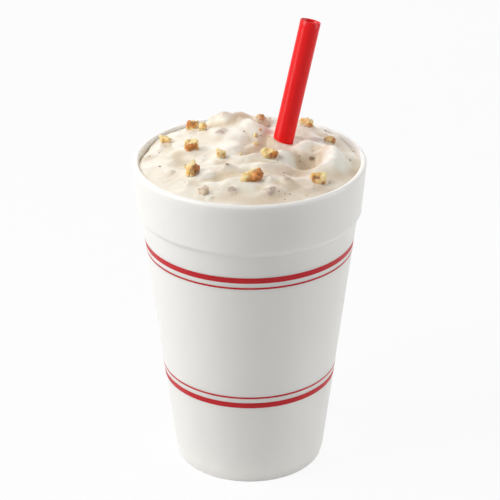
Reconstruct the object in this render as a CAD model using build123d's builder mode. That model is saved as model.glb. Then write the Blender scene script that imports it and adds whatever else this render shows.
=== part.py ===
from build123d import *
from math import atan2, cos, degrees, hypot, pi, radians, sin
from random import Random
import os

# A thick milkshake with walnut pieces, heaped over the rim of a disposable foam cup, with a wide
# straw stood in it. Millimetres, +Z up, origin at the middle of the foot on the table.

# ---------------------------------------------------------------- driving dimensions: the cup
cup_height = 134.8        # table to the top of the lip
rim_d = 95.2              # outside of the lip
band_height = 21.0        # the thicker band under the lip
band_flare = 1.7          # how far the lip stands out beyond the band's lower edge
shoulder_height = 2.2     # slope from the band down to the cup's body, on which cups stack
shoulder_width = 1.55     # how far that slope draws the body in
foot_d = 62.8             # outside of the tapered body if it ran on to the table
foot_round = 4.0          # height of the rounded edge at the foot
foot_inset = 0.55         # how far that rounding draws the foot in
wall = 2.3                # foam wall of the body
lip_width = 2.6           # thickness of the lip, and of the band under it
lip_round = 1.2
recess_height = 5.0       # the base stands clear of the table inside the foot ring
foot_ring_width = 3.2
base_thickness = 2.6
inner_corner_round = 3.5

# ---------------------------------------------------------------- driving dimensions: the shake
cling_gap = 0.1           # between the shake and the wall that holds it
edge_drop = 1.0           # the shake meets the wall this far below the lip
crown = 6.0               # rise of the heap from its edge to its middle

# ---------------------------------------------------------------- driving dimensions: the straw
straw_d = 8.4
straw_wall = 0.4
straw_above_lip = 53.0    # height of the straw's mouth above the lip
straw_gap = 0.08          # between the straw and the shake round it and inside it
straw_clearance = 0.3     # between the straw's lowest point and the cup's floor
straw_foot_at = (-0.505, -0.305)    # X and Y of its foot, as shares of the floor's radius
straw_heap_at = (0.308, 0.205)      # where it enters the heap, as shares of the mouth's radius

# ---------------------------------------------------------------- driving dimensions: the nuts
nut_gap = 0.08            # between a nut and the shake that it sits in
turn_jitter = 0.2         # unevenness of a nut's corners: turn, as a share of one step
least_spread = 0.82       # the most that a corner is drawn in, as a share of its reach
least_lift = 0.85         # and the most that it is lowered towards the nut's middle

# Sizes that follow.
rim_r = rim_d / 2
mouth_r = rim_r - lip_width
band_foot_r = rim_r - band_flare
body_top_r = band_foot_r - shoulder_width
band_foot_z = cup_height - band_height
body_top_z = band_foot_z - shoulder_height
floor_z = recess_height + base_thickness
straw_r = straw_d / 2
bore_r = straw_r - straw_wall


def body_r(z):
    """Outside radius of the tapered body at height z."""
    return foot_d / 2 + (body_top_r - foot_d / 2) * z / body_top_z


floor_r = body_r(floor_z) - wall

# The heap's humps and hollows. Places and half widths are shares of the mouth's radius, with +Y
# to the back. Each is (x, y, half length, half width, turn in degrees, height in millimetres).
heap_forms = [
    (-0.02, 0.50, 0.62, 0.42, 0, 4.2),       # hill at the back
    (-0.29, 0.62, 0.15, 0.13, 0, 3.8),       # cream-covered bump on the skyline
    (-0.11, 0.60, 0.26, 0.12, 22, 2.2),      # smooth fold beside it
    (0.13, 0.60, 0.14, 0.12, 0, 1.8),        # bump that carries a nut
    (0.52, 0.60, 0.24, 0.20, -30, 2.8),      # mound behind the straw
    (0.05, 0.34, 0.26, 0.15, -52, 2.8),      # lobe in front of the fold
    (-0.03, -0.09, 0.20, 0.12, 15, -1.6),    # hollow at the lobe's foot
    (0.17, 0.13, 0.18, 0.11, 60, -1.6),      # trough beside the straw
    (0.51, 0.12, 0.19, 0.13, 25, 2.6),       # lobe at the straw's right
    (0.48, -0.18, 0.24, 0.17, 20, -2.6),     # bottom of the swirl
    (0.72, -0.02, 0.34, 0.14, 100, 2.8),     # ridge of the swirl
    (0.63, -0.30, 0.18, 0.14, 20, 1.4),      # end of that ridge
    (0.96, 0.30, 0.30, 0.20, 110, -2.2),     # low place along the wall, right
    (-0.96, 0.22, 0.34, 0.18, 75, -2.2),     # low place along the wall, left
    (-0.52, 0.02, 0.30, 0.20, -15, 1.2),     # smooth shelf on the left
    (-0.60, -0.22, 0.17, 0.12, 10, -1.3),    # step below that shelf
    (-0.21, -0.38, 0.12, 0.10, 0, 1.6),      # small bump
    (-0.28, -0.53, 0.18, 0.10, 15, -1.5),    # hollow in front of it
    (0.19, -0.38, 0.22, 0.11, -8, 1.7),      # fold in the middle of the front
    (-0.12, -0.62, 0.26, 0.16, -10, 1.1),    # lobe at the front
    (0.22, -0.75, 0.14, 0.11, 0, 1.5),       # bump near the front lip
    (0.35, -0.65, 0.10, 0.09, 0, 1.1),       # bump next to it
    (0.02, -0.46, 0.16, 0.09, -20, -0.9),    # dip between the folds
    (0.42, -0.45, 0.16, 0.10, 30, -0.9),     # dip at the right
]


def hump(x, y, form):
    """Height that one hump adds at (x, y): a smooth oval dome that ends at its outline."""
    at_x, at_y, length, width, turn, height = form
    dx = x / mouth_r - at_x
    dy = y / mouth_r - at_y
    along = (dx * cos(radians(turn)) + dy * sin(radians(turn))) / length
    across = (dy * cos(radians(turn)) - dx * sin(radians(turn))) / width
    return height * max(0.0, 1 - along**2 - across**2) ** 2 * (2 + along**2 + across**2) / 2


def heap_z(x, y):
    """Height of the shake's top: a round crown from the edge, with all humps and hollows added."""
    share = min(hypot(x, y) / mouth_r, 1.15)
    crown_rise = crown * (1 - share**2)
    forms = sum(hump(x, y, form) for form in heap_forms)
    return cup_height - edge_drop + crown_rise + forms


# Walnut pieces. Place as shares of the mouth's radius, then length, width, height, turn in
# degrees, and how far the piece's middle stands above the shake.
nuts = {
    "nut_back_left": (-0.54, 0.66, 6.6, 5.6, 5.2, 20, 0.9),
    "nut_back_small": (-0.43, 0.47, 4.2, 3.8, 3.8, 60, 0.8),
    "nut_left": (-0.77, 0.345, 5.8, 4.8, 4.0, -10, 0.6),
    "nut_shelf": (-0.52, -0.01, 6.8, 6.0, 5.6, 35, 1.0),
    "nut_middle": (-0.25, -0.17, 5.0, 4.6, 4.4, 0, 0.6),
    "nut_front_left": (-0.50, -0.44, 7.2, 6.4, 6.2, 50, 0.9),
    "nut_front": (0.017, -0.61, 10.4, 6.4, 5.6, 5, 0.7),
    "nut_fold": (0.196, -0.20, 7.8, 6.0, 5.4, 0, 1.0),
    "nut_skyline": (0.13, 0.50, 5.0, 4.6, 4.4, 30, 0.4),
    "nut_behind_straw": (0.53, 0.60, 8.2, 6.0, 5.4, -15, 1.1),
    "nut_back_right": (0.735, 0.345, 5.0, 4.4, 3.8, 0, 0.8),
    "nut_front_right": (0.596, -0.56, 7.6, 6.2, 5.6, -20, 0.8),
    "nut_covered": (-0.38, -0.78, 4.6, 4.2, 4.2, 10, 0.2),
}
# Rings of a nut's corners, from below: level and reach as shares of its half sizes, and count.
nut_rings = [(-1.0, 0.35, 3), (-0.45, 0.92, 5), (0.35, 0.95, 6), (0.95, 0.45, 4)]


def nut_corners(name, gap):
    """Corners of a chopped nut: uneven rings of points round an oval, pushed out by the gap."""
    at_x, at_y, length, width, height, turn, above = nuts[name]
    chance = Random(name)
    middle = Vector(at_x * mouth_r, at_y * mouth_r, 0)
    middle += Vector(0, 0, heap_z(middle.X, middle.Y) + above)
    corners = []
    for level, reach, count in nut_rings:
        first = chance.uniform(0, 2 * pi)
        for step in range(count):
            angle = first + 2 * pi * (step + chance.uniform(-turn_jitter, turn_jitter)) / count
            spread = reach * chance.uniform(least_spread, 1.0)
            lift = level * height / 2 * chance.uniform(least_lift, 1.0)
            corner = Vector(spread * cos(angle) * length / 2, spread * sin(angle) * width / 2, lift)
            corner += corner.normalized() * gap
            corners.append(middle + corner.rotate(Axis.Z, turn))
    return corners


# ---------------------------------------------------------------- cup
with BuildPart() as cup:
    with BuildSketch(Plane.XZ) as cup_section:
        with BuildLine():
            Polyline(
                (0, recess_height),
                (body_r(recess_height) - foot_ring_width, recess_height),
                (body_r(0) - foot_ring_width, 0),
                (body_r(0) - foot_inset, 0),
                (body_r(foot_round), foot_round),
                (body_r(body_top_z), body_top_z),
                (band_foot_r, band_foot_z),
                (rim_r, cup_height),
                (mouth_r, cup_height),
                (band_foot_r - lip_width, band_foot_z),
                (body_r(body_top_z) - wall, body_top_z),
                (floor_r, floor_z),
                (0, floor_z),
                close=True,
            )
        make_face()
        lip_corners = cup_section.vertices().group_by(Axis.Y)[-1]
        fillet(lip_corners, lip_round)
        floor_corner = cup_section.vertices().sort_by_distance((floor_r, floor_z))[0]
        fillet(floor_corner, inner_corner_round)
        foot_corner = cup_section.vertices().sort_by_distance((body_r(foot_round), foot_round))[0]
        fillet(foot_corner, foot_round)
    revolve(axis=Axis.Z)
cup.part.label = "cup"

# ---------------------------------------------------------------- straw
# The straw leans from its foot on the cup's floor, through its place in the heap, to its mouth.
heap_point = Vector(straw_heap_at[0] * mouth_r, straw_heap_at[1] * mouth_r, 0)
heap_point += Vector(0, 0, heap_z(heap_point.X, heap_point.Y))
foot_point = Vector(straw_foot_at[0] * floor_r, straw_foot_at[1] * floor_r, floor_z)
lean = (heap_point - foot_point).normalized()
end_rise = straw_r * hypot(lean.X, lean.Y) + straw_clearance
straw_start = foot_point + lean * (end_rise / lean.Z)
straw_length = (cup_height + straw_above_lip - straw_start.Z) / lean.Z
straw_plane = Plane(straw_start, z_dir=lean)

with BuildPart() as straw:
    with BuildSketch(straw_plane):
        Circle(straw_r)
        Circle(bore_r, mode=Mode.SUBTRACT)
    extrude(amount=straw_length)
straw.part.label = "straw"

# ---------------------------------------------------------------- walnut pieces
walnut_pieces = []
for nut_name in nuts:
    with BuildPart() as nut:
        ConvexPolyhedron(nut_corners(nut_name, 0))
    nut.part.label = nut_name
    walnut_pieces.append(nut.part)

# ---------------------------------------------------------------- milkshake
# The heap's top is one smooth surface through a grid of heights, wider than the cup.
grid_step = mouth_r / 20
grid_reach = 23           # steps from the middle to the grid's edge, past the cup's wall
grid_line = [grid_step * place for place in range(-grid_reach, grid_reach + 1)]
heap_grid = [[Vector(x, y, heap_z(x, y)) for y in grid_line] for x in grid_line]
heap_surface = Face.make_surface_from_array_of_points(heap_grid, tol=0.3, min_deg=3, max_deg=3)
headroom = 12.0           # the uncut fill rises this far past the crown, above every hump
fill_top_z = cup_height + crown + headroom

with BuildPart() as milkshake:
    with BuildSketch(Plane.XZ) as fill_section:
        with BuildLine():
            Polyline(
                (0, floor_z + cling_gap),
                (floor_r - cling_gap, floor_z + cling_gap),
                (body_r(body_top_z) - wall - cling_gap, body_top_z),
                (band_foot_r - lip_width - cling_gap, band_foot_z),
                (mouth_r - cling_gap, cup_height),
                (mouth_r - cling_gap, fill_top_z),
                (0, fill_top_z),
                close=True,
            )
        make_face()
        fill_corner = fill_section.vertices().sort_by_distance((floor_r, floor_z))[0]
        fillet(fill_corner, inner_corner_round)
    revolve(axis=Axis.Z)
    split(bisect_by=heap_surface, keep=Keep.BOTTOM)
    with BuildSketch(straw_plane.offset(-straw_gap)):
        Circle(straw_r + straw_gap)
        Circle(bore_r - straw_gap, mode=Mode.SUBTRACT)
    extrude(amount=straw_length + straw_gap, mode=Mode.SUBTRACT)
    for nut_name in nuts:
        ConvexPolyhedron(nut_corners(nut_name, nut_gap), mode=Mode.SUBTRACT)
milkshake.part.label = "milkshake"

# ---------------------------------------------------------------- files
os.makedirs("parts", exist_ok=True)
for piece in [cup.part, straw.part, milkshake.part] + walnut_pieces:
    export_step(piece, f"parts/{piece.label}.step")

straw_lean = degrees(atan2(hypot(lean.X, lean.Y), lean.Z))
print("straw length", round(straw_length, 1), "lean", round(straw_lean, 1))
print("straw mouth", straw_start + lean * straw_length, "in the heap at", heap_point)
print("shake volume, ml", round(milkshake.part.volume / 1000, 1))
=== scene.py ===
# %% [markdown]
# # A walnut milkshake in a foam cup
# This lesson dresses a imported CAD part: a thick milkshake, heaped over the rim of a tapered foam
# cup, with chopped walnuts and a wide red straw. The CAD part gives the sizes and the main places.
# Blender gives the looks: foam with printed rings, red plastic, folded cream, and nuts with pale
# flesh and brown skin. Shapes are worked out in millimetres with numpy arrays.

# %% Load the frame
import math
from itertools import product

import bpy
import numpy as np
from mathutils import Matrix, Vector


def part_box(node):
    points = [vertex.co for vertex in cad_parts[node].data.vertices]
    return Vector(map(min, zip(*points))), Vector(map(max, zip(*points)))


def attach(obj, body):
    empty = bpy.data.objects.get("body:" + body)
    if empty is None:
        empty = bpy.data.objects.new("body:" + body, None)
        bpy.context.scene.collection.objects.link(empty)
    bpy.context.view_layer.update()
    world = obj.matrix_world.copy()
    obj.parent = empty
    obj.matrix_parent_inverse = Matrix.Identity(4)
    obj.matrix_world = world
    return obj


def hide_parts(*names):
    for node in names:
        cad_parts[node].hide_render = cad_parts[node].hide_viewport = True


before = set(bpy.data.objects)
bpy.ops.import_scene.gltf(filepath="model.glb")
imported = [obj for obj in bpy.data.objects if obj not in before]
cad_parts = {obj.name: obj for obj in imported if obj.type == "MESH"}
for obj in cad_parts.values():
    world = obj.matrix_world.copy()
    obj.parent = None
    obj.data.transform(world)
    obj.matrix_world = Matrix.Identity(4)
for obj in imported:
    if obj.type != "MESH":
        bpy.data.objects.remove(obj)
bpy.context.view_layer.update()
MM = 0.001
print("nodes:", sorted(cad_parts))

# %% [markdown]
# Every new piece starts as two numpy arrays, points and faces, which one helper turns into an
# object. Quads come from a grid of points, and a helper numbers their corners for any grid.


# %% Helpers for meshes
def grid_faces(rows, columns, close_rows=False, close_columns=False):
    """Corner numbers of the quads of a grid of points, row after row, counted anticlockwise."""
    row = np.arange(rows if close_rows else rows - 1)
    column = np.arange(columns if close_columns else columns - 1)
    here, right = np.meshgrid(row, column, indexing="ij")
    below = (here + 1) % rows
    beside = (right + 1) % columns
    corners = [here * columns + right, here * columns + beside]
    corners += [below * columns + beside, below * columns + right]
    return np.stack(corners, axis=-1).reshape(-1, 4)


def fan_faces(tip, ring_start, count, turned_over=False):
    """Triangles between one point and a ring of points, which are numbered on from ring_start."""
    here = ring_start + np.arange(count)
    beside = ring_start + (np.arange(count) + 1) % count
    if turned_over:
        here, beside = beside, here
    return np.stack([np.full(count, tip), here, beside], axis=-1)


def add_piece(name, points_mm, faces, material, smooth=True):
    """A mesh object from points in millimetres, which rides on the part's one body."""
    mesh = bpy.data.meshes.new(name)
    lists = [face.tolist() for face in faces]
    mesh.from_pydata((np.asarray(points_mm) * MM).tolist(), [], [f for part in lists for f in part])
    mesh.polygons.foreach_set("use_smooth", np.full(len(mesh.polygons), smooth))
    mesh.materials.append(material)
    mesh.update()
    piece = bpy.data.objects.new(name, mesh)
    bpy.context.scene.collection.objects.link(piece)
    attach(piece, "root")
    print(name, len(mesh.vertices), "points", len(mesh.polygons), "faces")
    return piece


def point_values(piece, name, values):
    """Stores one number for each point of a piece, for its material to read."""
    attribute = piece.data.attributes.new(name, "FLOAT", "POINT")
    attribute.data.foreach_set("value", np.asarray(values, dtype=np.float32))


# %% [markdown]
# Nothing in food is even, so several cells need noise. Value noise puts a random number on each
# corner of a cubic lattice and blends between them with a smooth step. Written out here, it gives
# the same numbers in every run.


# %% Helpers for noise
def corner_values(corners, seed):
    """A number from -1 to 1 for each whole-numbered lattice corner, mixed from its three counts."""
    mixed = corners[..., 0] * 73856093 ^ corners[..., 1] * 19349663 ^ corners[..., 2] * 83492791
    mixed = (mixed ^ (seed * 2654435761)) & 0xFFFFFFFF
    mixed = ((mixed ^ (mixed >> 15)) * 2246822519) & 0xFFFFFFFF
    mixed = ((mixed ^ (mixed >> 13)) * 3266489917) & 0xFFFFFFFF
    return (mixed ^ (mixed >> 16)) / 2147483648 - 1


def noise(points, cell, seed):
    """Value noise at points: the eight corners round each one, weighted by smooth steps."""
    place = np.asarray(points, dtype=float) / cell
    low = np.floor(place).astype(np.int64)
    part = place - low
    part = part**3 * (part * (part * 6 - 15) + 10)
    total = np.zeros(place.shape[:-1])
    for corner in product((0, 1), repeat=3):
        weight = np.prod(np.where(corner, part, 1 - part), axis=-1)
        total += weight * corner_values(low + np.array(corner), seed)
    return total


def layered_noise(points, cell, seed, layers):
    """Noise added to itself at half the size and half the strength, layer after layer."""
    return sum(noise(points, cell / 2**k, seed + k) / 2**k for k in range(layers))


# %% [markdown]
# All finishes here are procedural. Nodes are added through one small class, in which each input
# takes a plain value or another node's output. Two node groups are shared. One makes a colour
# uneven, as nothing moulded or mixed is one flat tone. The other makes a fine relief. A group only
# hands out a colour or a normal, and each material keeps its own Principled shader.


# %% Helpers for materials
class Graph:
    """A node tree, with short ways to add nodes and to give inputs a value or an output."""

    def __init__(self, tree):
        self.tree = tree

    def feed(self, socket, value):
        """Joins an input to another node's output, or sets it to a plain value."""
        if isinstance(value, bpy.types.NodeSocket):
            self.tree.links.new(value, socket)
        else:
            socket.default_value = value

    def feed_named(self, node, **values):
        """Feeds inputs by name, with an underscore for each space."""
        for label, value in values.items():
            self.feed(node.inputs[label.replace("_", " ")], value)

    def node(self, kind, *ordered, **named):
        """A new node, with its first inputs fed in their order, or inputs fed by name."""
        node = self.tree.nodes.new(kind)
        for socket, value in zip(node.inputs, ordered):
            self.feed(socket, value)
        self.feed_named(node, **named)
        return node

    def placed(self, kind, **named):
        """A new node that works on the piece's own Object coordinates."""
        place = self.node("ShaderNodeTexCoord")
        return self.node(kind, Vector=place.outputs["Object"], **named)

    def maths(self, operation, first, second):
        """The output of a Math node on two values."""
        node = self.node("ShaderNodeMath", first, second)
        node.operation = operation
        return node.outputs[0]


def start_group(name, output, output_kind, **inputs):
    """An empty node group, as its graph and the outputs that hand in what it is given."""
    group = bpy.data.node_groups.new(name, "ShaderNodeTree")
    for label, value in inputs.items():
        kind = "NodeSocketColor" if label == "Colour" else "NodeSocketFloat"
        group.interface.new_socket(label, in_out="INPUT", socket_type=kind).default_value = value
    group.interface.new_socket(output, in_out="OUTPUT", socket_type=output_kind)
    graph = Graph(group)
    return graph, graph.node("NodeGroupInput").outputs


def make_uneven_group():
    """Colour times a little more or less than one, after a cloudy noise."""
    start = {"Colour": (1, 1, 1, 1), "Scale": 60.0, "Dark": 0.9, "Light": 1.0}
    graph, given = start_group("Uneven tone", "Colour", "NodeSocketColor", **start)
    cloud = graph.placed("ShaderNodeTexNoise", Scale=given["Scale"], Detail=4)
    ends = {"From_Min": 0.3, "From_Max": 0.7, "To_Min": given["Dark"], "To_Max": given["Light"]}
    span = graph.node("ShaderNodeMapRange", Value=cloud.outputs["Fac"], **ends)
    tone = graph.node("ShaderNodeVectorMath", given["Colour"])
    tone.operation = "SCALE"
    graph.feed_named(tone, Scale=span.outputs["Result"])
    graph.node("NodeGroupOutput", Colour=tone.outputs[0])
    return graph.tree


def make_relief_group():
    """A normal from a fine noise, for surfaces that are never quite smooth."""
    start = {"Scale": 900.0, "Strength": 0.1, "Height": 0.0002}
    graph, given = start_group("Fine relief", "Normal", "NodeSocketVector", **start)
    grain = graph.placed("ShaderNodeTexNoise", Scale=given["Scale"], Detail=3)
    size = {"Strength": given["Strength"], "Distance": given["Height"]}
    bump = graph.node("ShaderNodeBump", Height=grain.outputs["Fac"], **size)
    graph.node("NodeGroupOutput", Normal=bump.outputs["Normal"])
    return graph.tree


uneven_tone = make_uneven_group()
fine_relief = make_relief_group()


class Finish(Graph):
    """A new material, as the graph round its Principled shader."""

    mix_sockets = (0, 6, 7)  # factor, first and second colour of a Mix node that mixes colours
    mix_result = 2

    def __init__(self, name, **values):
        self.material = bpy.data.materials.new(name)
        self.material.use_nodes = True
        super().__init__(self.material.node_tree)
        self.shader = self.tree.nodes["Principled BSDF"]
        self.feed_named(self.shader, **values)

    def group(self, group, **values):
        """The one output of a shared node group."""
        node = self.node("ShaderNodeGroup")
        node.node_tree = group
        self.feed_named(node, **values)
        return node.outputs[0]

    def attribute(self, name):
        """The numbers that a piece stores for each of its points."""
        node = self.node("ShaderNodeAttribute")
        node.attribute_name = name
        return node.outputs["Fac"]

    def mix(self, mask, first, second):
        """First colour where the mask is 0, second where it is 1."""
        node = self.node("ShaderNodeMix")
        node.data_type = "RGBA"
        for number, value in zip(self.mix_sockets, (mask, first, second)):
            self.feed(node.inputs[number], value)
        return node.outputs[self.mix_result]

    def mask(self, value, low, high):
        """0 at low, 1 at high, with a smooth step between them, and flat past both."""
        node = self.node("ShaderNodeMapRange", Value=value, From_Min=low, From_Max=high)
        node.interpolation_type = "SMOOTHSTEP"
        return node.outputs["Result"]

    def bumped(self, height, strength, distance):
        """A normal from a height."""
        node = self.node("ShaderNodeBump", Height=height, Strength=strength, Distance=distance)
        return node.outputs["Normal"]

    def done(self, colour, normal):
        """Feeds colour and normal to the shader, and gives the finished material."""
        self.feed_named(self.shader, Base_Color=colour, Normal=normal)
        return self.material


# %% [markdown]
# The cup is one shell of moulded foam beads, thick and white, with a rounded lip, a wider band
# under it on which cups stack, and a foot ring round a raised base. It is a surface of revolution:
# an outline with rounded corners, carried round the axis.


# %% Outline and revolving
def rounded_outline(corners, steps=7):
    """Corners as (radius, height, rounding): each rounding becomes an arc tangent to both sides."""
    points = []
    for index, (r, z, rounding) in enumerate(corners):
        here = np.array([r, z])
        if rounding == 0:
            points.append(here)
            continue
        back = np.array(corners[index - 1][:2]) - here
        ahead = np.array(corners[index + 1][:2]) - here
        back /= np.linalg.norm(back)
        ahead /= np.linalg.norm(ahead)
        half = math.acos(np.clip(back @ ahead, -1, 1)) / 2
        middle = (back + ahead) / np.linalg.norm(back + ahead)
        centre = here + middle * rounding / math.sin(half)
        start = here + back * rounding / math.tan(half) - centre
        end = here + ahead * rounding / math.tan(half) - centre
        turn = math.atan2(start[0] * end[1] - start[1] * end[0], start @ end)
        for angle in np.linspace(0, turn, steps):
            swing = [[math.cos(angle), -math.sin(angle)], [math.sin(angle), math.cos(angle)]]
            points.append(centre + np.array(swing) @ start)
    return np.array(points)


def fill_in(outline, longest):
    """The outline with points added, so that no step is longer than the given length."""
    points = []
    for start, end in zip(outline[:-1], outline[1:]):
        count = max(1, math.ceil(np.linalg.norm(end - start) / longest))
        share = np.arange(count)[:, None] / count
        points.append(start + (end - start) * share)
    points.append(outline[-1:])
    return np.concatenate(points)


def turned(outline, segments):
    """Each point of an outline of (radius, height) carried round the Z axis, ring after ring."""
    angle = np.linspace(0, 2 * np.pi, segments, endpoint=False)
    x = outline[:, :1] * np.cos(angle)
    y = outline[:, :1] * np.sin(angle)
    z = np.repeat(outline[:, 1:], segments, axis=1)
    return np.stack([x, y, z], axis=-1).reshape(-1, 3)


def revolve_from_axis(outline, segments):
    """Turns an outline that starts and ends on the Z axis: a point at each end, rings between."""
    rings = outline[1:-1]
    points = turned(rings, segments)
    poles = [[0, 0, outline[0, 1]], [0, 0, outline[-1, 1]]]
    quads = grid_faces(len(rings), segments, close_columns=True)
    start_fan = fan_faces(len(points), 0, segments, turned_over=True)
    end_fan = fan_faces(len(points) + 1, (len(rings) - 1) * segments, segments)
    return np.concatenate([points, poles]), [quads, start_fan, end_fan]


def revolve_ring(outline, segments):
    """Turns a closed outline that stays off the axis, as a ring."""
    quads = grid_faces(len(outline), segments, close_rows=True, close_columns=True)
    return turned(outline, segments), [quads]


# %% Sizes of the cup, as the CAD part has them
cup_high = np.array(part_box("cup")[1]) / MM
cup_height = cup_high[2]
lip_round = 1.2
rim_r = cup_high[0] + 0.1
lip_width = 2.6
mouth_r = rim_r - lip_width
band_foot_z = cup_height - 21.0
band_foot_r = rim_r - 1.7
body_top_z = band_foot_z - 2.2
body_top_r = band_foot_r - 1.55
foot_r = 31.4
foot_inset = 0.55
foot_curve = 4.0
wall = 2.3
recess_height = 5.0
foot_ring_width = 3.2
floor_z = recess_height + 2.6
cup_step = 1.6
cup_segments = 224


def body_r(z):
    """Outside radius of the tapered body at height z."""
    return foot_r + (body_top_r - foot_r) * z / body_top_z


print("cup", round(cup_height, 1), "mm high,", round(2 * rim_r, 1), "mm across the lip")

# %% [markdown]
# Foam has a satin skin. The beads that it was moulded from show only close up, as a net of faint
# seams, so a Voronoi texture gives a shallow relief and a barely darker line. Light gets some way
# into the foam, which softens its shading and the edge of the lip.


# %% Foam
def make_foam():
    foam = Finish(
        "Moulded foam", Roughness=0.38, Coat_Weight=0.2, Coat_Roughness=0.35,
        Subsurface_Weight=0.65, Subsurface_Radius=(1.0, 0.96, 0.92), Subsurface_Scale=0.004,
    )
    tone = foam.group(uneven_tone, Colour=(0.968, 0.927, 0.872, 1), Scale=18.0, Dark=0.975)
    beads = foam.placed("ShaderNodeTexVoronoi", Scale=420.0)
    beads.feature = "DISTANCE_TO_EDGE"
    seam = foam.mask(beads.outputs["Distance"], 0.0, 0.09)
    colour = foam.mix(seam, (0.948, 0.907, 0.852, 1), tone)
    return foam.done(colour, foam.bumped(seam, 0.07, 0.00008))


foam_material = make_foam()

# %% The cup's shell
cup_corners = [
    # radius, height, rounding
    (0, floor_z, 0),
    (body_r(floor_z) - wall, floor_z, 3.5),
    (body_top_r - wall, body_top_z, 1.5),
    (band_foot_r - lip_width, band_foot_z, 1.5),
    (mouth_r, cup_height, lip_round),
    (rim_r, cup_height, lip_round),
    (band_foot_r, band_foot_z, 0.7),
    (body_top_r, body_top_z, 0.9),
    (body_r(foot_curve), foot_curve, foot_curve),
    (foot_r - foot_inset, 0, 0.3),
    (foot_r - foot_ring_width, 0, 0.6),
    (body_r(recess_height) - foot_ring_width, recess_height, 0.8),
    (0, recess_height, 0),
]
# Taken from the underside outwards and in over the lip, so that the faces point out.
cup_outline = fill_in(rounded_outline(cup_corners), cup_step)[::-1]
cup_points, cup_faces = revolve_from_axis(cup_outline, cup_segments)
cup = add_piece("foam_cup", cup_points, cup_faces, foam_material)
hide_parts("cup")

# %% [markdown]
# Two pairs of printed rings go round the cup, each a broad one and a fine one. As real rings a few
# hundredths of a millimetre proud, their edges stay sharp at any distance.

# %% Printed rings
ink_proud = 0.035
ink_depth = 0.2
ring_bands = [(100.65, 2.5), (97.0, 0.85), (43.7, 0.85), (39.95, 2.5)]  # middle height, width


def make_ink():
    ink = Finish("Printed ink", Roughness=0.42, Specular_IOR_Level=0.25)
    tone = ink.group(uneven_tone, Colour=(0.57, 0.012, 0.019, 1), Scale=90.0, Dark=0.93, Light=1.03)
    return ink.done(tone, ink.group(fine_relief, Scale=1400.0, Strength=0.12, Height=0.0001))


ink_material = make_ink()
for number, (ring_z, ring_width) in enumerate(ring_bands, start=1):
    low, high = ring_z - ring_width / 2, ring_z + ring_width / 2
    ring_outline = np.array([
        (body_r(low) - ink_depth, low),
        (body_r(low) + ink_proud, low),
        (body_r(high) + ink_proud, high),
        (body_r(high) - ink_depth, high),
    ])
    ring_points, ring_faces = revolve_ring(ring_outline, cup_segments)
    add_piece(f"printed_ring_{number}", ring_points, ring_faces, ink_material, smooth=False)

# %% [markdown]
# The straw is a thin tube that leans in the shake and stands on the cup's floor. Its line comes
# from the CAD tube, as the middle of the points at each end. The outline of its wall is turned
# round that line, with the cut edges just broken.


# %% The straw's line, from the CAD part
def node_points(name):
    """Places of a CAD node's points in millimetres, each one once."""
    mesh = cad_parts[name].data
    places = np.zeros(len(mesh.vertices) * 3)
    mesh.vertices.foreach_get("co", places)
    return np.unique(np.round(places.reshape(-1, 3) / MM, 3), axis=0)


tube_points = node_points("straw")
tube_middle = tube_points[:, 2].mean()
straw_foot = tube_points[tube_points[:, 2] < tube_middle].mean(axis=0)
straw_mouth = tube_points[tube_points[:, 2] > tube_middle].mean(axis=0)
straw_length = np.linalg.norm(straw_mouth - straw_foot)
straw_along = (straw_mouth - straw_foot) / straw_length
straw_r = 4.2
straw_wall = 0.4
straw_edge = 0.12
straw_step = 3.0
straw_segments = 72
print("straw", np.round(straw_foot, 2), "to", np.round(straw_mouth, 2))


# %% Straw plastic
def make_straw_plastic():
    """Red plastic with a soft gloss, and faint draw lines from the tool that it came out of."""
    red = Finish(
        "Straw plastic", Roughness=0.34, Specular_IOR_Level=0.1, Coat_Weight=0.3, Coat_Roughness=0.16,
        Subsurface_Weight=0.15, Subsurface_Radius=(1.0, 0.15, 0.15), Subsurface_Scale=0.001,
    )
    tone = red.group(uneven_tone, Colour=(0.90, 0.005, 0.006, 1), Scale=25.0, Dark=0.94, Light=1.02)
    stretch = red.placed("ShaderNodeMapping", Scale=(900.0, 900.0, 12.0))
    lines = red.node("ShaderNodeTexNoise", Vector=stretch.outputs[0], Scale=1.0, Detail=2.0)
    return red.done(tone, red.bumped(lines.outputs["Fac"], 0.05, 0.00008))


straw_material = make_straw_plastic()


# %% The straw's tube
def along_line(points, start, direction):
    """Moves points made round the Z axis so that they lie round a line through start."""
    turn = Vector((0, 0, 1)).rotation_difference(Vector(direction)).to_matrix()
    return points @ np.array(turn).T + start


straw_bore_r = straw_r - straw_wall
tube_outline = np.array([
    (straw_r - straw_edge, 0),
    (straw_r, straw_edge),
    (straw_r, straw_length - straw_edge),
    (straw_r - straw_edge, straw_length),
    (straw_bore_r + straw_edge, straw_length),
    (straw_bore_r, straw_length - straw_edge),
    (straw_bore_r, straw_edge),
    (straw_bore_r + straw_edge, 0),
])
closed_outline = fill_in(np.vstack([tube_outline, tube_outline[:1]]), straw_step)[:-1]
tube_shape, tube_faces = revolve_ring(closed_outline, straw_segments)
tube_shape = along_line(tube_shape, straw_foot, straw_along)
straw = add_piece("red_straw", tube_shape, tube_faces, straw_material)
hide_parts("straw")

# %% [markdown]
# The shake is thick enough to stand above the rim in folds, where the mixer's spindle and a spoon
# left them. Its top is one height for each place. A low crown carries the humps and hollows of the
# CAD part, with the low place at the left wall made shallower, and finer forms come after them.
# Places are shares of the mouth's radius, with +Y to the back.

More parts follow.
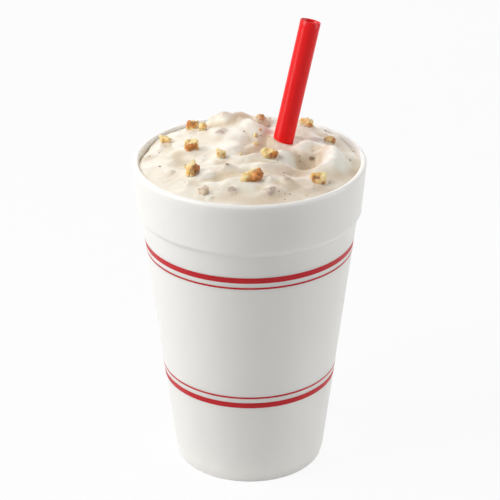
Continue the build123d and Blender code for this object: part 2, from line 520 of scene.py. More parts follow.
# %% Humps and hollows of the heap
edge_drop = 1.0
crown = 6.0
heap_forms = np.array([
    # x, y, half length, half width, turn in degrees, height in millimetres
    (-0.02, 0.50, 0.62, 0.42, 0, 4.2),  # hill at the back
    (-0.29, 0.62, 0.15, 0.13, 0, 3.8),  # cream-covered bump on the skyline
    (-0.11, 0.60, 0.26, 0.12, 22, 2.2),  # smooth fold beside it
    (0.13, 0.60, 0.14, 0.12, 0, 1.8),  # bump that carries a nut
    (0.52, 0.60, 0.24, 0.20, -30, 2.8),  # mound behind the straw
    (0.05, 0.34, 0.26, 0.15, -52, 2.8),  # lobe in front of the fold
    (-0.03, -0.09, 0.20, 0.12, 15, -1.6),  # hollow at the lobe's foot
    (0.17, 0.13, 0.18, 0.11, 60, -1.6),  # trough beside the straw
    (0.51, 0.12, 0.19, 0.13, 25, 2.6),  # lobe at the straw's right
    (0.48, -0.18, 0.24, 0.17, 20, -2.6),  # bottom of the swirl
    (0.72, -0.02, 0.34, 0.14, 100, 2.8),  # ridge of the swirl
    (0.63, -0.30, 0.18, 0.14, 20, 1.4),  # end of that ridge
    (0.96, 0.30, 0.30, 0.20, 110, -2.2),  # low place along the wall, right
    (-0.96, 0.22, 0.34, 0.18, 75, -1.2),  # low place along the wall, left
    (-0.52, 0.02, 0.30, 0.20, -15, 1.2),  # smooth shelf on the left
    (-0.60, -0.22, 0.17, 0.12, 10, -1.3),  # step below that shelf
    (-0.21, -0.38, 0.12, 0.10, 0, 1.6),  # small bump
    (-0.28, -0.53, 0.18, 0.10, 15, -1.5),  # hollow in front of it
    (0.19, -0.38, 0.22, 0.11, -8, 1.7),  # fold in the middle of the front
    (-0.12, -0.62, 0.26, 0.16, -10, 1.1),  # lobe at the front
    (0.22, -0.75, 0.14, 0.11, 0, 1.5),  # bump near the front lip
    (0.35, -0.65, 0.10, 0.09, 0, 1.1),  # bump next to it
    (0.02, -0.46, 0.16, 0.09, -20, -0.9),  # dip between the folds
    (0.42, -0.45, 0.16, 0.10, 30, -0.9),  # dip at the right
])


def hump(x, y, form):
    """A smooth oval dome or bowl that ends at its outline, at places given in millimetres."""
    at_x, at_y, length, width, turn, height = form
    dx = x / mouth_r - at_x
    dy = y / mouth_r - at_y
    cos, sin = math.cos(math.radians(turn)), math.sin(math.radians(turn))
    share = ((dx * cos + dy * sin) / length) ** 2 + ((dy * cos - dx * sin) / width) ** 2
    return height * np.maximum(0, 1 - share) ** 2 * (2 + share) / 2


def heap_base(x, y):
    """Height of the heap before its finer forms: crown, humps and hollows."""
    share = np.hypot(x, y) / mouth_r
    height = cup_height - edge_drop + crown * (1 - share**2)
    return height + sum(hump(x, y, form) for form in heap_forms)


# %% [markdown]
# Cream that has been spooned over itself lies in folds, and a fold isn't a dome: it swells slowly
# on one side and drops into a crease on the other. So each is a ridge along a bowed line, with a
# wide side and a narrow side. That gives shaded steps, which domes alone never give.

# %% Folds of the cream
cream_folds = np.array([
    # from x, y, to x, y, bow, height in mm, width of the right side and of the left side in mm
    (0.04, 0.66, -0.30, 0.44, -0.04, 1.3, 6.0, 3.4),  # fold along the top at the back
    (0.00, 0.40, -0.13, -0.26, -0.05, 1.5, 12.0, 4.4),  # crest of the large lobe
    (0.66, -0.46, 0.80, 0.18, -0.06, 2.8, 7.5, 7.5),  # ridge of the swirl
    (0.50, -0.24, -0.20, -0.25, -0.05, 1.9, 7.0, 4.0),  # fold across the middle of the front
    (-0.42, -0.14, -0.80, 0.02, -0.03, 1.0, 9.0, 3.8),  # step at the left
    (0.66, 0.06, 0.42, 0.02, 0.05, 1.9, 4.2, 5.0),  # lobe in front of the straw, right
    (0.40, 0.26, 0.56, 0.28, 0.02, -0.7, 3.4, 3.4),  # pocket behind that lobe
    (0.78, 0.40, 0.52, 0.46, 0.04, 1.1, 4.0, 5.0),  # fold behind the pocket
    (-0.24, -0.72, -0.62, -0.42, -0.06, 0.9, 7.0, 4.6),  # roll at the front left
    (0.44, -0.60, 0.06, -0.70, -0.04, 1.2, 6.0, 4.0),  # roll at the front right
    (0.46, -0.46, 0.62, 0.20, -0.02, -2.4, 4.2, 9.0),  # bottom of the swirl
    (0.10, -0.42, 0.52, -0.42, 0.03, -1.1, 4.5, 3.5),  # where it runs out to the front
    (0.20, -0.12, 0.44, -0.16, 0.02, 1.3, 7.0, 6.0),  # cream between the straw and the swirl
    (0.98, 0.00, 0.76, 0.62, -0.08, 1.4, 5.0, 5.0),  # roll along the wall at the right
    (0.16, 0.08, -0.04, -0.14, 0.02, -1.5, 4.5, 4.5),  # hollow right of the large lobe
    (0.02, -0.48, -0.34, -0.48, 0.02, -1.0, 4.6, 4.6),  # hollow under the front fold
    (-0.44, -0.52, -0.18, -0.66, 0.03, -0.6, 5.0, 5.0),  # hollow at the front left
    (0.92, -0.06, 0.72, -0.46, 0.05, 0.7, 6.0, 4.0),  # roll along the wall, right
    (0.30, 0.80, -0.10, 0.84, 0.05, 0.9, 6.0, 5.0),  # roll at the back
    (0.86, 0.46, 0.62, 0.74, 0.05, 0.9, 6.0, 5.0),  # roll at the back, right
    (-0.50, 0.80, -0.80, 0.50, 0.04, 0.7, 6.0, 5.0),  # roll at the back, left
    (-0.84, 0.46, -0.97, -0.02, 0.04, 1.5, 4.0, 5.0),  # roll along the wall, left
])
end_share = 0.35


def fold(x, y, form):
    """A ridge: one minus the squared share of the width, squared, beside a bowed line."""
    start, end = form[:2] * mouth_r, form[2:4] * mouth_r
    bow, height, right_width, left_width = form[4] * mouth_r, *form[5:]
    length = np.linalg.norm(end - start)
    ahead = (end - start) / length
    along = ((x - start[0]) * ahead[0] + (y - start[1]) * ahead[1]) / length
    across = (y - start[1]) * ahead[0] - (x - start[0]) * ahead[1] - 4 * bow * along * (1 - along)
    share = np.where(across > 0, across / left_width, -across / right_width)
    fade = np.clip(np.minimum(along, 1 - along) / end_share, 0, 1)
    return height * np.maximum(0, 1 - share**2) ** 2 * fade**2 * (3 - 2 * fade)


# %% [markdown]
# Under the cream lie more nut pieces than show. Most lift the surface into a small smooth lump,
# and where the cream is thin the lump looks grey brown. The plainest are listed, with three small
# dips among them, and beside some of them the grey brown is painted shade. The others fall at
# random from a fixed seed, clear of straw and large nuts.

# %% Where the small lumps lie
chance = np.random.default_rng(41)
nut_names = sorted(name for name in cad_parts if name.startswith("nut_"))
nut_boxes = {name: [np.array(corner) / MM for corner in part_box(name)] for name in nut_names}
nut_middles = np.array([(low + high) / 2 for low, high in nut_boxes.values()])
heap_at_straw = 139.2
straw_in_heap = straw_foot + straw_along * (heap_at_straw - straw_foot[2]) / straw_along[2]
nut_half = 2.5
tries_each = 6


def scatter(count, clear, reach=0.97):
    """Random places in the mouth that keep clear of the straw and the large nuts."""
    tries = chance.uniform(-1, 1, (count * tries_each, 2)) * mouth_r
    keep = np.hypot(*tries.T) < mouth_r * reach
    keep &= np.hypot(*(tries - straw_in_heap[:2]).T) > straw_r + clear
    apart = np.hypot(*np.moveaxis(tries[:, None] - nut_middles[None, :, :2], -1, 0))
    keep &= apart.min(axis=1) > nut_half + clear
    return tries[keep][:count]


plain_lumps = np.array([
    # x, y, radius and height in millimetres, and how much the nut shows through, with painted shade
    (-0.26, 0.30, 3.8, 0.9, 3.0),
    (0.11, 0.43, 5.4, -2.5, 1.0),
    (-0.27, 0.58, 3.6, 0.5, 0.9),
    (0.21, 0.47, 3.4, -0.3, 1.2),
    (0.07, 0.50, 3.4, 0.0, 1.0),
    (-0.37, 0.64, 3.4, 1.1, 0.0),
    (-0.19, 0.64, 3.4, -0.9, 0.0),
    (-0.70, -0.35, 2.4, 1.0, 0.9),
    (-0.14, -0.77, 3.4, 0.7, 3.0),
    (0.18, -0.80, 3.8, 0.6, 2.6),
    (0.33, -0.62, 3.6, 0.7, 1.1),
    (0.18, -0.62, 2.6, 0.5, 0.4),
    (-0.20, -0.40, 2.6, 0.7, 0.7),
    (-0.05, -0.05, 3.0, 0.3, 0.7),
    (0.45, 0.25, 2.6, 0.5, 0.7),
    (-0.54, -0.62, 2.6, 0.7, 0.5),
    (-0.34, -0.86, 2.2, 0.8, 0.6),
])
few_places = scatter(36, 0.8, reach=0.93)
few_radii = chance.uniform(1.4, 3.4, len(few_places))
few_heights = few_radii * chance.uniform(0.05, 0.20, len(few_places))
few_shows = 0.8 * chance.uniform(0, 1, len(few_places)) ** 3
lump_places = np.concatenate([plain_lumps[:, :2] * mouth_r, few_places])
lump_radii = np.concatenate([plain_lumps[:, 2], few_radii])
lump_heights = np.concatenate([plain_lumps[:, 3], few_heights])
lump_show_and_shade = np.concatenate([plain_lumps[:, 4], few_shows])
print(len(lump_places), "small lumps")


# %% Height of the finished surface
def bumps(x, y, places, radii, heights):
    """Round bumps added up: one minus the squared share of the radius, squared."""
    total = np.zeros_like(x)
    for (at_x, at_y), radius, height in zip(places, radii, heights):
        share = ((x - at_x) ** 2 + (y - at_y) ** 2) / radius**2
        total += height * np.maximum(0, 1 - share) ** 2
    return total


# Cells, heights, depths and reaches are in millimetres, except calm_reach, which is in half nuts,
# and the pocket's place and size, which are shares of the mouth's radius. The rest are shares.
bend_cell, bend_reach = 7.0, 0.9
lump_bend = 0.5
sweep_turn = np.array([[0.8, 0.6, 0], [-0.6, 0.8, 0], [0, 0, 1]])
sweep_cell, sweep_reach = 15.0, 5.0
crease_cell, crease_height, crease_blunt = 13.0, 0.5, 0.02
grain_cell, grain_height = 4.0, 0.11
collar_height, collar_share, collar_width = 0.4, 0.95, 0.35
calm_share, calm_reach = 0.85, 1.4
settled, settle_reach = 0.7, 6.0
curl_cell, curl_height, curl_change, curl_reach = 7.0, 0.3, 0.25, 0.8
pocket_at, pocket_size, pocket_depth, pocket_reach = (-0.93, 0.20), (0.14, 0.24), 1.3, 2.2
seat_rise, seat_slope, seat_reach = 4.3, 0.33, 2.4


def finer_forms(x, y, flat):
    """Folds and small lumps along bent lines, then long creases and an uneven grain."""
    bend_x, bend_y = (bend_reach * noise(flat, bend_cell, seed) for seed in (3, 4))
    forms = sum(fold(x + bend_x, y + bend_y, form) for form in cream_folds)
    lump_x, lump_y = x + lump_bend * bend_x, y + lump_bend * bend_y
    forms += bumps(lump_x, lump_y, lump_places, lump_radii, lump_heights)
    sweep = np.stack([noise(flat, sweep_cell, 7), noise(flat, sweep_cell, 8), 0 * x], axis=-1)
    valley = noise(flat @ sweep_turn + sweep_reach * sweep, crease_cell, 5)
    crease = 1 - np.sqrt(valley**2 + crease_blunt)
    grain = grain_height * layered_noise(flat, grain_cell, 11, 3)
    return forms + (crease_height * (crease**2 - 0.5) + grain)


def round_nuts(x, y):
    """How high cream is pushed up round the large nuts, and the share of finer forms left there."""
    collars = np.zeros_like(x)
    shown = np.ones_like(x)
    for (low, high), middle in zip(nut_boxes.values(), nut_middles):
        half = (high[:2] - low[:2]) / 2
        share = np.hypot((x - middle[0]) / half[0], (y - middle[1]) / half[1])
        collars += collar_height * np.exp(-((share - collar_share) / collar_width) ** 2)
        shown *= 1 - calm_share * np.exp(-((share / calm_reach) ** 4))
    return collars, shown


def heap_z(x, y):
    """The finished surface: base and finer forms, seated at the nuts, the wall and the straw."""
    flat = np.stack([x, y, np.zeros_like(x)], axis=-1)
    collars, shown = round_nuts(x, y)
    height = heap_base(x, y) + shown * finer_forms(x, y, flat) + collars
    to_wall = np.maximum(mouth_r - np.hypot(x, y), 0)
    height -= settled * (1 - np.exp(-to_wall / settle_reach))
    curl = curl_height + curl_change * noise(flat, curl_cell, 15)
    height -= curl * np.exp(-to_wall / curl_reach)
    pocket_x = (x / mouth_r - pocket_at[0]) / pocket_size[0]
    pocket_y = (y / mouth_r - pocket_at[1]) / pocket_size[1]
    height -= pocket_depth * np.exp(-(pocket_x**2) - pocket_y**2) * np.exp(-to_wall / pocket_reach)
    straw_seat = cup_height + seat_rise - seat_slope * (x - straw_in_heap[0])
    to_straw = np.hypot(x - straw_in_heap[0], y - straw_in_heap[1]) - straw_r
    close = np.exp(-((np.maximum(to_straw, 0) / seat_reach) ** 2))
    return height + close * (straw_seat - height)


# %% [markdown]
# The top is a square grid that is bent into a disc, which keeps the quads about even, with no
# pinched middle. From its edge a skirt goes down a little way inside the foam, so that no gap
# shows, and it closes just under the top of the cup's floor.


# %% The shake's mesh
def disc_grid(count):
    """A square grid bent into a disc: squares of equal side become rings of equal radius."""
    line = np.linspace(-1, 1, count)
    a, b = np.meshgrid(line, line, indexing="xy")
    side = np.abs(a) > np.abs(b)
    radius = np.where(side, a, b)
    other = np.where(side, b, a)
    safe = np.where(radius == 0, 1, radius)
    angle = np.where(side, np.pi / 4 * other / safe, np.pi / 2 - np.pi / 4 * other / safe)
    return radius * np.cos(angle), radius * np.sin(angle)


def edge_loop(count):
    """Numbers of the grid's edge points, once round, anticlockwise."""
    first = np.arange(count - 1)
    right = first * count + count - 1
    top = count * count - 1 - first
    left = (count - 1 - first) * count
    return np.concatenate([first, right, top, left])


def inner_r(z):
    """Inside radius of the cup at height z, by straight runs between its corners."""
    heights = [floor_z, body_top_z, band_foot_z, cup_height]
    radii = [body_r(floor_z) - wall, body_top_r - wall, band_foot_r - lip_width, mouth_r]
    return np.interp(z, heights, radii)


top_count = 272
into_wall = 0.25
skirt_heights = [131.0, 124.0, band_foot_z, body_top_z, 90.0, 60.0, 30.0, floor_z + 3.5]
base_share = 0.58
base_z = floor_z - 0.2

disc_x, disc_y = disc_grid(top_count)
top_r = inner_r(cup_height - edge_drop) + into_wall
top_x, top_y = disc_x * top_r, disc_y * top_r
top_z = heap_z(top_x, top_y)
top_points = np.stack([top_x, top_y, top_z], axis=-1).reshape(-1, 3)
loop = edge_loop(top_count)
rim_points = top_points[loop]
skirt = []
for skirt_z in skirt_heights:
    scale = (inner_r(skirt_z) + into_wall) / top_r
    skirt.append(rim_points * [scale, scale, 0] + [0, 0, skirt_z])
skirt.append(rim_points * [base_share, base_share, 0] + [0, 0, base_z])
ring_count = len(loop)
top_total = len(top_points)
shake_points = np.concatenate([top_points, *skirt, [[0, 0, base_z]]])
skirt_faces = grid_faces(len(skirt), ring_count, close_columns=True)[:, ::-1] + top_total
around = np.arange(ring_count)
beside = (around + 1) % ring_count
join_faces = np.stack([loop[beside], loop[around], top_total + around, top_total + beside], axis=-1)
last_ring = top_total + (len(skirt) - 1) * ring_count
base_faces = fan_faces(len(shake_points) - 1, last_ring, ring_count, turned_over=True)
shake_faces = [grid_faces(top_count, top_count), join_faces, skirt_faces, base_faces]


# %% [markdown]
# Hollows get a darker, warmer cream and crests stay white: painted shade in the hollows. A hollow
# lies lower than the average of its neighbourhood, so the heights are blurred, and the difference is
# stored on the mesh. Listed patches add more painted shade, and some painted light.


# %% Hollows and crests
def blurred(grid, reach):
    """Each value averaged with its neighbours, along columns and then rows, three times over."""
    for axis in (0, 1, 0, 1, 0, 1):
        margin = [(reach, reach) if side == axis else (0, 0) for side in (0, 1)]
        padded = np.pad(grid, margin, mode="edge")
        windows = np.lib.stride_tricks.sliding_window_view(padded, 2 * reach + 1, axis=axis)
        grid = windows.mean(axis=-1)
    return grid


blur_reach = 6
# Painted shade: how far each point lies below its blurred neighbourhood, for darker hollows.
hollow_shade_top = blurred(top_z, blur_reach) - top_z
print("hollows to", round(hollow_shade_top.max(), 2), "mm, crests to", round(-hollow_shade_top.min(), 2), "mm")
# Patches of painted shade and painted light on the cream.
shade_and_light_patches = np.array([
    # x, y, radius in millimetres, strength: more than 0 is painted shade, less is painted light
    (0.17, 0.12, 7.0, 1.2),
    (0.08, -0.03, 8.5, 1.3),
    (-0.01, -0.15, 6.0, 0.9),
    (0.14, -0.42, 6.0, 0.5),
    (0.34, -0.41, 7.0, 1.0),
    (0.45, -0.39, 7.0, 0.7),
    (0.55, -0.22, 8.0, 0.7),
    (0.62, -0.02, 7.0, 0.7),
    (0.75, 0.08, 5.5, 1.0),
    (0.66, -0.66, 7.0, 0.6),
    (0.46, -0.10, 7.0, 0.9),
    (0.10, -0.09, 4.0, 0.8),
    (0.93, -0.30, 6.0, 0.9),
    (-0.15, -0.85, 7.0, 0.3),
    (-0.64, -0.07, 4.0, 0.5),
    (-0.91, 0.02, 4.0, 0.8),
    (0.56, 0.27, 7.0, -0.5),
    (0.90, 0.24, 8.0, -1.2),
    (0.68, 0.32, 6.0, -0.9),
    (0.36, 0.06, 4.0, -0.8),
    (0.78, -0.45, 8.0, 0.6),
    (0.35, -0.62, 7.0, 0.5),
    (0.45, -0.74, 12.0, 0.5),
    (0.10, -0.88, 14.0, 0.8),
    (-0.20, -0.86, 9.0, 0.3),
    (-0.60, -0.10, 7.0, 0.4),
    (-0.26, -0.43, 5.0, 0.5),
    (-0.08, -0.53, 7.0, 0.8),
    (-0.68, -0.45, 8.0, 0.3),
    (-0.28, 0.66, 7.0, 0.4),
    (-0.06, 0.52, 8.0, 0.9),
    (0.15, 0.48, 7.0, 0.8),
    (0.30, -0.16, 8.0, -0.5),
    (0.20, -0.30, 5.0, -0.5),
    (0.05, -0.72, 9.0, -0.9),
    (-0.06, 0.27, 7.0, -0.7),
    (-0.09, -0.08, 5.0, -0.6),
    (0.50, 0.10, 8.0, -0.6),
    (0.77, -0.22, 9.0, -1.2),
    (-0.32, -0.54, 8.0, -0.5),
    (-0.30, -0.02, 14.0, -0.3),
])
shade_and_light_places = shade_and_light_patches[:, :2] * mouth_r
shade_and_light_top = bumps(top_x, top_y, shade_and_light_places, shade_and_light_patches[:, 2], shade_and_light_patches[:, 3])


# %% [markdown]
# Cream is pale, a little yellow, and light goes some way into it, which fills the folds with warm
# light. Dust gives it a mottled tone with a few tiny specks. Its hollows and listed patches take a
# darker cream, as painted shade, and a few patches a whiter one, as painted light. Where a nut lies
# just under the surface, the cream takes on a greyish brown, which in places is painted shade.


# %% Cream
def make_cream():
    cream = Finish(
        "Nut cream", Roughness=0.34,
        Subsurface_Weight=0.25, Subsurface_Radius=(1.0, 0.82, 0.62), Subsurface_Scale=0.0014,
    )
    crest = cream.group(uneven_tone, Colour=(0.968, 0.93, 0.825, 1), Scale=70.0, Dark=0.96, Light=1.01)
    # Painted shade: hollows take the darker cream, and crests keep the pale one.
    hollow_shade = cream.mask(cream.attribute("hollow_shade"), -0.2, 0.6)
    with_hollow_shade = cream.mix(hollow_shade, crest, (0.815, 0.71, 0.53, 1))
    # Painted shade and painted light from the listed patches.
    painted_shade_and_light = cream.mask(cream.attribute("painted_shade_and_light"), -0.6, 1.2)
    tone = cream.mix(painted_shade_and_light, with_hollow_shade, (0.69, 0.555, 0.40, 1))
    # Grey brown over nuts just under the cream, which beside some lumps is painted shade.
    under_and_shade = cream.mask(cream.attribute("nut_under_and_shade"), 0.05, 1.9)
    shaded = cream.mix(under_and_shade, tone, (0.44, 0.335, 0.28, 1))
    dust = cream.placed("ShaderNodeTexVoronoi", Scale=520.0)
    near = cream.mask(dust.outputs["Distance"], 0.26, 0.12)
    rare = cream.placed("ShaderNodeTexNoise", Scale=260.0, Detail=2.0)
    few = cream.mask(rare.outputs["Fac"], 0.64, 0.70)
    colour = cream.mix(cream.maths("MULTIPLY", near, few), shaded, (0.42, 0.27, 0.15, 1))
    return cream.done(colour, cream.group(fine_relief, Scale=700.0, Strength=0.14, Height=0.0003))


cream_material = make_cream()
shake = add_piece("milkshake_heap", shake_points, shake_faces, cream_material)
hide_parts("milkshake")

# The nuts underneath and the painted shade by them show with ragged outlines, because places
# and strength are both disturbed.
ragged_cell, ragged_reach = 2.4, 0.8
top_flat = np.stack([top_x, top_y, np.zeros_like(top_x)], axis=-1)
ragged_x, ragged_y = (ragged_reach * layered_noise(top_flat, ragged_cell, k, 2) for k in (61, 65))
nut_and_shade_top = bumps(top_x + ragged_x, top_y + ragged_y, lump_places, lump_radii, lump_show_and_shade)
nut_and_shade_top *= 0.8 + 0.5 * layered_noise(top_flat, 1.5, 71, 2)
stored = {"nut_under_and_shade": np.maximum(nut_and_shade_top, 0), "hollow_shade": hollow_shade_top, "painted_shade_and_light": shade_and_light_top}
for name, grid in stored.items():
    point_values(shake, name, np.pad(grid.ravel(), (0, len(shake_points) - top_total)))

# %% [markdown]
# A chopped walnut has broken faces of pale, oily flesh and stretches of thin brown skin. Each piece
# is a ball of directions, and its surface lies where the first of several cutting planes is met.
# The planes are rounded into each other a little, and noise roughens them.


# %% Shape of a chopped nut
def ball_directions(rows, columns):
    """Unit directions on rings from pole to pole, with the poles as single points at the end."""
    rise = np.linspace(0, np.pi, rows + 2)[1:-1, None]
    angle = np.linspace(0, 2 * np.pi, columns, endpoint=False)[None, :]
    x, y = np.sin(rise) * np.cos(angle), np.sin(rise) * np.sin(angle)
    rings = np.stack([x, y, np.cos(rise) * np.ones_like(angle)], axis=-1)
    points = np.concatenate([rings.reshape(-1, 3), [[0, 0, 1], [0, 0, -1]]])
    quads = grid_faces(rows, columns, close_columns=True)[:, ::-1]
    top_fan = fan_faces(len(points) - 2, 0, columns)
    low_fan = fan_faces(len(points) - 1, (rows - 1) * columns, columns, turned_over=True)
    return points, [quads, top_fan, low_fan]


def first_cut(facing, depths, sharp):
    """Distance to the first of the cutting planes, from how squarely each one is met."""
    return np.sum((facing / depths) ** sharp, axis=-1) ** (-1 / sharp)


def even_directions(luck, count):
    """Random directions, one along each of the six axis ways first, so that all sides are cut."""
    six = np.concatenate([np.eye(3), -np.eye(3)]) + luck.normal(scale=0.22, size=(6, 3))
    ways = np.concatenate([six, luck.normal(size=(count - 6, 3))])
    return ways / np.linalg.norm(ways, axis=1)[:, None]


nut_growth = [1.06, 1.06, 1.22]
nut_lift = -0.5
nut_cuts, nut_sharp = 13, 8
bite_count, bite_depth, bite_edge = 3, 0.26, 0.72
rough_cell, rough_depth = 0.55, 0.15
furrow_cell, furrow_depth, furrow_width = 0.8, 0.18, 0.13


def nut_piece(middle, size, seed, skin_share, facing, rows=34, columns=52):
    """Points of one nut in millimetres, its faces, and numbers that are larger where skin is."""
    luck = np.random.default_rng(seed)
    directions, faces = ball_directions(rows, columns)
    planes = even_directions(luck, nut_cuts)
    depths = luck.uniform(0.70, 1.0, nut_cuts)
    reach = first_cut(np.maximum(directions @ planes.T, 0.02), depths, nut_sharp)
    bites = even_directions(luck, 6 + bite_count)[6:]
    bitten = np.clip((directions @ bites.T - bite_edge) / (1 - bite_edge), 0, 1)
    reach *= 1 - bite_depth * np.sum(bitten**1.5, axis=1)
    shape = directions * reach[:, None]
    shape /= (shape.max(axis=0) - shape.min(axis=0)) / 2
    shape -= (shape.max(axis=0) + shape.min(axis=0)) / 2
    rough = rough_depth * layered_noise(shape + seed * 7.0, rough_cell, 21, 4)
    furrow = np.abs(noise(shape + seed * 3.0, furrow_cell, 25))
    shape *= (1 + rough - furrow_depth * np.exp(-((furrow / furrow_width) ** 2)))[:, None]
    skin = shape @ (np.array(facing) / np.linalg.norm(facing))
    skin += skin_share + 0.45 * layered_noise(shape + seed, 0.7, 31, 2)
    return middle + shape * size / 2 * nut_growth + [0, 0, nut_lift], faces, skin


# %% [markdown]
# The flesh is a warm yellow with toasted places, and the skin a mottled brown. The same material
# serves the large nuts and the crumbs, because its masks and a second noise make no two alike. Low
# down on a nut, and over the coated ones, the cream leaves a smear, and its darker tone is painted
# shade. Loose skin has its own finish.


# %% Walnut
def make_walnut():
    nut = Finish(
        "Walnut", Roughness=0.46,
        Subsurface_Weight=0.3, Subsurface_Radius=(1.0, 0.55, 0.25), Subsurface_Scale=0.001,
    )
    pale = nut.group(uneven_tone, Colour=(0.97, 0.78, 0.38, 1), Scale=420.0, Dark=0.84, Light=1.03)
    warm = nut.placed("ShaderNodeTexNoise", Scale=300.0, Detail=3.0)
    toasted = nut.mask(warm.outputs["Fac"], 0.47, 0.72)
    flesh = nut.mix(toasted, pale, (0.84, 0.45, 0.10, 1))
    brown = nut.group(uneven_tone, Colour=(0.47, 0.17, 0.026, 1), Scale=500.0, Dark=0.38, Light=1.65)
    skin = nut.mask(nut.attribute("skin"), -0.05, 0.55)
    # Cream smear, in a darker tone that is painted shade.
    smear_and_shade = nut.mask(nut.attribute("smear_and_shade"), -0.9, 0.3)
    colour = nut.mix(smear_and_shade, nut.mix(skin, flesh, brown), (0.70, 0.575, 0.43, 1))
    return nut.done(colour, nut.group(fine_relief, Scale=1500.0, Strength=0.45, Height=0.0003))


def make_nut_skin():
    """Thin dry skin that came off the nuts: a greyish brown, with paler and darker places."""
    skin = Finish("Walnut skin", Roughness=0.6)
    tone = skin.group(uneven_tone, Colour=(0.32, 0.225, 0.16, 1), Scale=700.0, Dark=0.6, Light=1.7)
    return skin.done(tone, skin.group(fine_relief, Scale=2200.0, Strength=0.4, Height=0.0002))


walnut_material = make_walnut()
as_it_lies, own_size = (0, 0, 0), (1, 1, 1)
nut_looks = {
    # how much skin shows and the way that it faces, shift in millimetres from the CAD nut's middle,
    # times the CAD nut's size; ways and shifts are to the right, to the back, up
    "back_left": (-0.40, (-0.5, -0.5, 0.3), (0.4, 0, 0), (1.0, 1.0, 1.3)),
    "back_small": (-0.45, (0.6, -0.3, -0.5), as_it_lies, own_size),
    "left": (-0.50, (0.3, -0.6, -0.6), as_it_lies, own_size),
    "shelf": (0.20, (-0.2, -0.8, -0.6), (0, 0, -0.5), (1.05, 1.05, 1.15)),
    "middle": (-0.70, (0.2, -0.9, 0.0), as_it_lies, own_size),
    "front_left": (-0.12, (1.0, -0.5, 0.3), as_it_lies, (0.92, 1.0, 1.0)),
    "front": (-0.12, (0.7, -0.5, 0.3), as_it_lies, (1.0, 1.0, 0.95)),
    "fold": (-0.28, (0.5, -0.9, -0.2), (-0.5, 0, 0), (0.92, 1.0, 1.1)),
    "skyline": (0.55, (0.2, -0.7, 0.3), (-1.2, -1.5, -1.2), (1.5, 1.2, 1.7)),
    "behind_straw": (-0.05, (0.6, -0.6, -0.4), (0, 0, -1.8), (1.3, 1.1, 1.15)),
    "back_right": (-0.05, (1.0, -0.2, -0.2), as_it_lies, own_size),
    "front_right": (0.20, (-0.6, -0.7, -0.6), (0, 0, -0.7), own_size),
    "covered": (0.10, (0.0, -0.8, 0.2), (-0.8, 0, -0.9), (1.1, 1.1, 1.4)),
}
coated = {"covered": 2.4, "skyline": 2.8, "back_right": 0.2}  # how high the cream clings, in mm
other_seeds = {"front": 21}
for number, nut_name in enumerate(nut_names, start=1):
    look = nut_name.removeprefix("nut_")
    skin_share, facing, shift, swell = nut_looks[look]
    low, high = nut_boxes[nut_name]
    nut_size = (high - low) * swell
    seed = other_seeds.get(look, number)
    points, faces, skin = nut_piece((low + high) / 2 + shift, nut_size, seed, skin_share, facing)
    walnut = add_piece(f"walnut_{look}", points, faces, walnut_material)
    point_values(walnut, "skin", skin)
    # How far each point is above the cream, for the smear and its painted shade.
    above = points[:, 2] - heap_z(points[:, 0], points[:, 1])
    uneven = 0.5 * layered_noise(points, 2.0, 51, 2)
    point_values(walnut, "smear_and_shade", uneven + coated.get(look, 0) - above)
    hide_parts(nut_name)


# %% [markdown]
# Between the large nuts lie crumbs, and flakes of skin, most of them no bigger than a grain of
# pepper. They are dozens of tiny solids, so each has few faces, and all of one kind are joined
# into one mesh. The plainest are listed, and the others fall at random. Each one sits at
# the height of the cream where it lies.


# %% Crumbs and flakes
crumb_cuts, crumb_sharp, crumb_reach = 7, 10, 1.4


def scattered(places, sizes, flatness, sink, rows, columns):
    """Many small chopped shapes in one mesh: shared directions, each with its own cuts."""
    directions, faces = ball_directions(rows, columns)
    count = len(places)
    planes = chance.normal(size=(count, crumb_cuts, 3))
    planes /= np.linalg.norm(planes, axis=2)[..., None]
    depths = chance.uniform(0.55, 1.0, (count, crumb_cuts))
    facing = np.maximum(np.einsum("dk,cpk->cdp", directions, planes), 0.05)
    reach = np.minimum(first_cut(facing, depths[:, None, :], crumb_sharp), crumb_reach)
    shapes = directions[None] * reach[..., None] * sizes[:, None, None] / 2
    shapes[..., 2] *= flatness
    middles = np.column_stack([places, heap_z(places[:, 0], places[:, 1]) - sink * sizes])
    points = (shapes + middles[:, None, :]).reshape(-1, 3)
    shift = (np.arange(count) * len(directions))[:, None, None]
    return points, [(part[None] + shift).reshape(-1, part.shape[1]) for part in faces]


def with_scattered(plain, few, smallest, largest):
    """Places and sizes in millimetres of those listed and then of those at random."""
    places = np.concatenate([plain[:, :2] * mouth_r, few])
    return places, np.concatenate([plain[:, 2], chance.uniform(smallest, largest, len(few))])


plain_crumbs = np.array([
    # x, y, size in millimetres, how much skin
    (0.05, 0.20, 2.1, -0.2),
    (0.05, 0.10, 1.9, -0.1),
    (0.10, 0.25, 1.1, 0.4),
    (0.15, -0.10, 1.7, 0.6),
])
few_crumbs = scatter(8, 0.6)
crumb_places, crumb_sizes = with_scattered(plain_crumbs, few_crumbs, 0.8, 1.7)
points, faces = scattered(crumb_places, crumb_sizes, 0.8, 0.05, 5, 8)
crumbs = add_piece("nut_crumbs", points, faces, walnut_material, smooth=False)
crumb_skin = np.concatenate([plain_crumbs[:, 3], chance.uniform(-0.6, 0.15, len(few_crumbs))])
point_values(crumbs, "skin", np.repeat(crumb_skin, len(points) // len(crumb_places)))
point_values(crumbs, "smear_and_shade", np.full(len(points), -2.0))

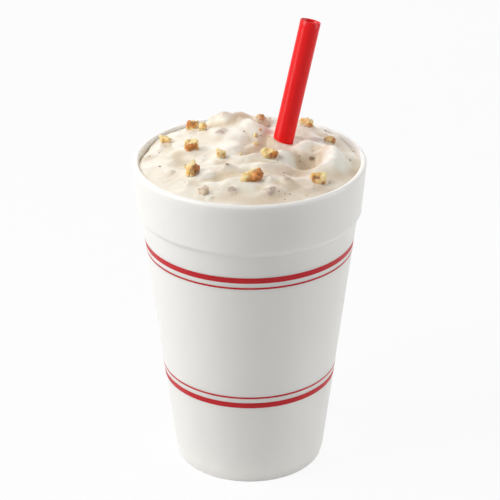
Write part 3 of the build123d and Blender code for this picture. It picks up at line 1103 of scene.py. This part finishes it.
plain_flakes = np.array([
    # x, y, size in millimetres
    (-0.90, 0.05, 0.9),
    (-0.80, -0.20, 1.2),
    (-0.20, -0.40, 1.3),
    (-0.05, 0.25, 1.0),
    (0.10, 0.20, 0.8),
    (0.45, -0.05, 0.8),
    (0.45, -0.10, 0.8),
    (0.55, -0.05, 2.6),
    (0.30, -0.55, 1.2),
    (0.25, -0.80, 1.0),
    (0.90, -0.10, 1.3),
    (0.95, 0.25, 0.8),
    (0.55, -0.50, 1.5),
    (0.70, -0.55, 0.9),
    (0.30, -0.45, 0.9),
    (0.70, 0.65, 1.8),
])
flake_places, flake_sizes = with_scattered(plain_flakes, scatter(22, 0.4), 0.35, 0.8)
points, faces = scattered(flake_places, flake_sizes, 0.40, 0.02, 3, 6)
add_piece("skin_flakes", points, faces, make_nut_skin(), smooth=False)

# %% [markdown]
# The stage is a plain pale floor under four soft lamps: a large one and a low one at the left, a
# weaker one at the right, and one behind. The camera and mirrored rays see the world as white, and
# for all other light it is a dim fill. The floor shows as white to them too, but a share of its own
# lit colour stays, so that the object keeps its shadow.


# %% Floor and world
floor_size = 3.0
floor_white = 0.92
white = (1, 1, 1, 1)


def seen_or_reflected(graph):
    """1 for rays from the camera and for mirrored or refracted rays, 0 for rays that light things."""
    rays = graph.node("ShaderNodeLightPath").outputs
    total = rays["Is Camera Ray"]
    for kind in ("Is Glossy Ray", "Is Transmission Ray"):
        total = graph.maths("MAXIMUM", total, rays[kind])
    return total


def show_mix(graph, mask, first, second, output):
    """Sends the first shader out where the mask is 0, and the second where it is 1."""
    mix = graph.node("ShaderNodeMixShader", mask, first.outputs[0], second.outputs[0])
    graph.feed_named(graph.tree.nodes[output], Surface=mix.outputs[0])


def make_floor_material():
    pale = Finish("Pale floor", Base_Color=(0.8, 0.8, 0.8, 1), Roughness=0.9)
    share = pale.maths("MULTIPLY", seen_or_reflected(pale), floor_white)
    show_mix(pale, share, pale.shader, pale.node("ShaderNodeEmission"), "Material Output")
    return pale.material


floor_mesh = bpy.data.meshes.new("floor")
ways = [(-1, -1), (1, -1), (1, 1), (-1, 1)]
floor_mesh.from_pydata([(x * floor_size, y * floor_size, 0) for x, y in ways], [], [(0, 1, 2, 3)])
floor_mesh.materials.append(make_floor_material())
floor = bpy.data.objects.new("floor", floor_mesh)
bpy.context.scene.collection.objects.link(floor)

world = bpy.data.worlds.new("Soft room")
bpy.context.scene.world = world
world.use_nodes = True
sky = Graph(world.node_tree)
room = sky.tree.nodes["Background"]
sky.feed_named(room, Color=white, Strength=0.235)
backdrop = sky.node("ShaderNodeBackground", Color=white)
show_mix(sky, seen_or_reflected(sky), room, backdrop, "World Output")


# %% Lamps
def add_lamp(name, place, target, width, height, watts):
    """A rectangular soft lamp at a place in metres that faces its target."""
    lamp = bpy.data.lights.new(name, "AREA")
    lamp.shape = "RECTANGLE"
    lamp.size, lamp.size_y = width, height
    lamp.energy = watts
    holder = bpy.data.objects.new(name, lamp)
    holder.location = place
    look = Vector(target) - Vector(place)
    holder.rotation_euler = look.to_track_quat("-Z", "Y").to_euler()
    bpy.context.scene.collection.objects.link(holder)


middle = (0, 0, 0.08)
add_lamp("key_left", (-0.56, -0.13, 0.66), middle, 0.5, 0.5, 4.8)
add_lamp("low_left", (-0.80, -0.25, 0.18), middle, 0.4, 0.3, 1.1)
add_lamp("fill_right", (0.80, -0.10, 0.30), middle, 0.5, 0.6, 2.4)
add_lamp("back", (0.0, 0.80, 0.50), middle, 0.6, 0.6, 1.7)

# %% [markdown]
# The camera looks down at the cup from about twenty-six degrees, from far enough away that the
# taper of the cup reads as taper.

# %% Camera
camera_elevation = math.radians(25.79)
camera_distance = 0.814563
camera_target = Vector((0.0002, 0, 0.09346))
camera_data = bpy.data.cameras.new("camera")
camera_data.sensor_width = 36
camera_data.lens = 141.5
camera = bpy.data.objects.new("camera", camera_data)
back_off = Vector((0, -math.cos(camera_elevation), math.sin(camera_elevation)))
camera.location = camera_target + back_off * camera_distance
camera.rotation_euler = (math.pi / 2 - camera_elevation, 0, 0)
bpy.context.scene.collection.objects.link(camera)
bpy.context.scene.camera = camera
bpy.context.scene.view_settings.view_transform = "Standard"
